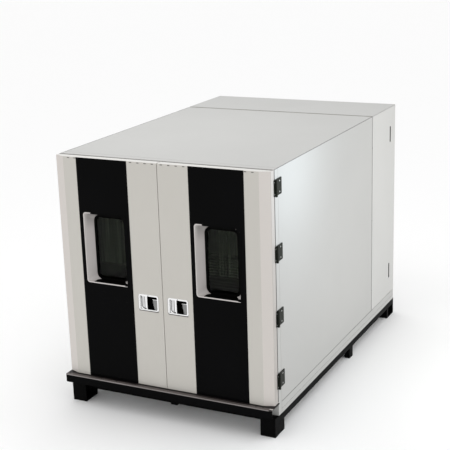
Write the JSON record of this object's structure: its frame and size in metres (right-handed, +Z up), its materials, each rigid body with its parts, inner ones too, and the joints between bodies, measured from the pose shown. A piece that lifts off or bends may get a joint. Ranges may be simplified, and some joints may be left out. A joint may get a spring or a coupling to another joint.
{
  "type": "battery test chamber",
  "caption": "Walk-in battery test chamber: insulated steel box on a black base, two windowed front doors with recessed latches, and a refrigeration machine room at the rear.",
  "frame": {"origin": "on the floor, under the middle of the whole box that the part fills", "axes": "+Z up, -Y out of the doors at the front, +X to the right of someone facing the doors' plane along +Y"},
  "size_m": [1.944, 3.11, 2.163],
  "materials": {
    "beige_paint": "satin powder coat",
    "black_gloss": "gloss black",
    "black_paint": "satin black enamel",
    "chrome": "polished",
    "control_black": "satin",
    "copper": "copper tube",
    "fan_plastic": "moulded",
    "fin_metal": "finned",
    "foam_core": "brushed inner pan over foam",
    "glass": "tinted",
    "hinge_cast": "dark cast",
    "lamp_white": "frosted",
    "motor_paint": "grey enamel",
    "moulded_grey": "satin",
    "rubber": "matt",
    "sill_paint": "worn dark brown enamel",
    "stainless": "brushed",
    "stop_red": "gloss",
    "white_paint": "satin powder coat",
    "zinc": "zinc plated"
  },
  "bodies": {
    "root": {"air_baffle": "stainless", "base_rails": "black_paint", "bulkhead_panel": "foam_core", "cable_port": "stainless", "chamber_lamp": "lamp_white", "chamber_liner": "stainless", "compressors": "motor_paint", "condenser_coil": "fin_metal", "door_frame": "white_paint", "door_sill": "sill_paint", "electrical_box": "beige_paint", "evaporator_coil": "fin_metal", "fan_guard": "zinc", "fan_motors": "motor_paint", "feet": "black_paint", "floor_panel": "foam_core", "frame_hinges": "hinge_cast", "heater_elements": "zinc", "left_wall_panel": "white_paint", "machine_frame": "black_paint", "machine_roof": "white_paint", "rear_panel": "white_paint", "refrigerant_lines": "copper", "right_wall_panel": "white_paint", "roof_panel": "white_paint", "sample_shelf": "stainless", "shelf_rails": "stainless", "side_skirts": "white_paint"},
    "left_door": {"left_door_pan": "beige_paint", "left_door_band": "black_gloss", "left_door_core": "foam_core", "left_door_seal": "rubber", "left_window_frame": "moulded_grey", "left_window_panes": "glass", "left_window_gasket": "rubber", "left_latch_pan": "chrome", "left_door_hinges": "hinge_cast"},
    "left_paddle": {"left_latch_paddle": "chrome"},
    "left_upper_bolt": {"left_upper_rod": "zinc"},
    "left_lower_bolt": {"left_lower_rod": "zinc"},
    "right_door": {"right_door_pan": "beige_paint", "right_door_band": "black_gloss", "right_door_core": "foam_core", "right_door_seal": "rubber", "right_window_frame": "moulded_grey", "right_window_panes": "glass", "right_window_gasket": "rubber", "right_latch_pan": "chrome", "right_door_hinges": "hinge_cast"},
    "right_paddle": {"right_latch_paddle": "chrome"},
    "right_upper_bolt": {"right_upper_rod": "zinc"},
    "right_lower_bolt": {"right_lower_rod": "zinc"},
    "left_service": {"left_service_door": "white_paint", "control_panel": "control_black"},
    "right_service": {"right_service_door": "white_paint"},
    "stop": {"stop_button": "stop_red"},
    "isolator": {"isolator_knob": "control_black"},
    "left_fan": {"left_circulation_fan": "fan_plastic"},
    "right_fan": {"right_circulation_fan": "fan_plastic"},
    "outdoor_fan": {"condenser_fan": "fan_plastic"}
  },
  "joints": [
    {"name": "left_door_swing", "type": "hinge", "parent": "root", "child": "left_door", "pos_m": [-0.962, -1.404, 1.16], "axis": [0, 0, -1], "range_deg": [0, 120]},
    {"name": "left_paddle_pull", "type": "hinge", "parent": "left_door", "child": "left_paddle", "pos_m": [-0.202, -1.495, 1], "axis": [0, 0, -1], "range_deg": [0, 25], "stiffness_Nm_per_rad": 2, "springref_deg": -20.05},
    {"name": "left_upper_bolt_slide", "type": "slide", "parent": "left_door", "child": "left_upper_bolt", "axis": [0, 0, -1], "range_m": [0, 0.0121]},
    {"name": "left_lower_bolt_slide", "type": "slide", "parent": "left_door", "child": "left_lower_bolt", "axis": [0, 0, 1], "range_m": [0, 0.0121]},
    {"name": "right_door_swing", "type": "hinge", "parent": "root", "child": "right_door", "pos_m": [0.962, -1.404, 1.16], "axis": [0, 0, 1], "range_deg": [0, 120]},
    {"name": "right_paddle_pull", "type": "hinge", "parent": "right_door", "child": "right_paddle", "pos_m": [0.068, -1.495, 1], "axis": [0, 0, -1], "range_deg": [0, 25], "stiffness_Nm_per_rad": 2, "springref_deg": -20.05},
    {"name": "right_upper_bolt_slide", "type": "slide", "parent": "right_door", "child": "right_upper_bolt", "axis": [0, 0, -1], "range_m": [0, 0.0121]},
    {"name": "right_lower_bolt_slide", "type": "slide", "parent": "right_door", "child": "right_lower_bolt", "axis": [0, 0, 1], "range_m": [0, 0.0121]},
    {"name": "left_service_swing", "type": "hinge", "parent": "root", "child": "left_service", "pos_m": [-0.944, 0.869, 1.16], "axis": [0, 0, 1], "range_deg": [0, 90]},
    {"name": "right_service_swing", "type": "hinge", "parent": "root", "child": "right_service", "pos_m": [0.944, 0.869, 1.16], "axis": [0, 0, -1], "range_deg": [0, 90]},
    {"name": "stop_press", "type": "slide", "parent": "left_service", "child": "stop", "axis": [1, 0, 0], "range_m": [0, 0.004]},
    {"name": "isolator_turn", "type": "hinge", "parent": "left_service", "child": "isolator", "pos_m": [-0.946, 1.2251, 1.34], "axis": [-1, 0, 0], "range_deg": [0, 90]},
    {"name": "left_fan_spin", "type": "hinge", "parent": "root", "child": "left_fan", "pos_m": [-0.43, 0.752, 1.68], "axis": [0, 1, 0], "continuous": true},
    {"name": "right_fan_spin", "type": "hinge", "parent": "root", "child": "right_fan", "pos_m": [0.43, 0.752, 1.68], "axis": [0, 1, 0], "continuous": true},
    {"name": "outdoor_fan_spin", "type": "hinge", "parent": "root", "child": "outdoor_fan", "pos_m": [0, 1.504, 1.66], "axis": [0, 1, 0], "continuous": true}
  ],
  "couplings": [
    {"joint": "left_upper_bolt_slide", "follows": "left_paddle_pull", "m_per_rad": 0.027502},
    {"joint": "left_lower_bolt_slide", "follows": "left_paddle_pull", "m_per_rad": 0.027502},
    {"joint": "right_upper_bolt_slide", "follows": "right_paddle_pull", "m_per_rad": 0.027502},
    {"joint": "right_lower_bolt_slide", "follows": "right_paddle_pull", "m_per_rad": 0.027502}
  ]
}
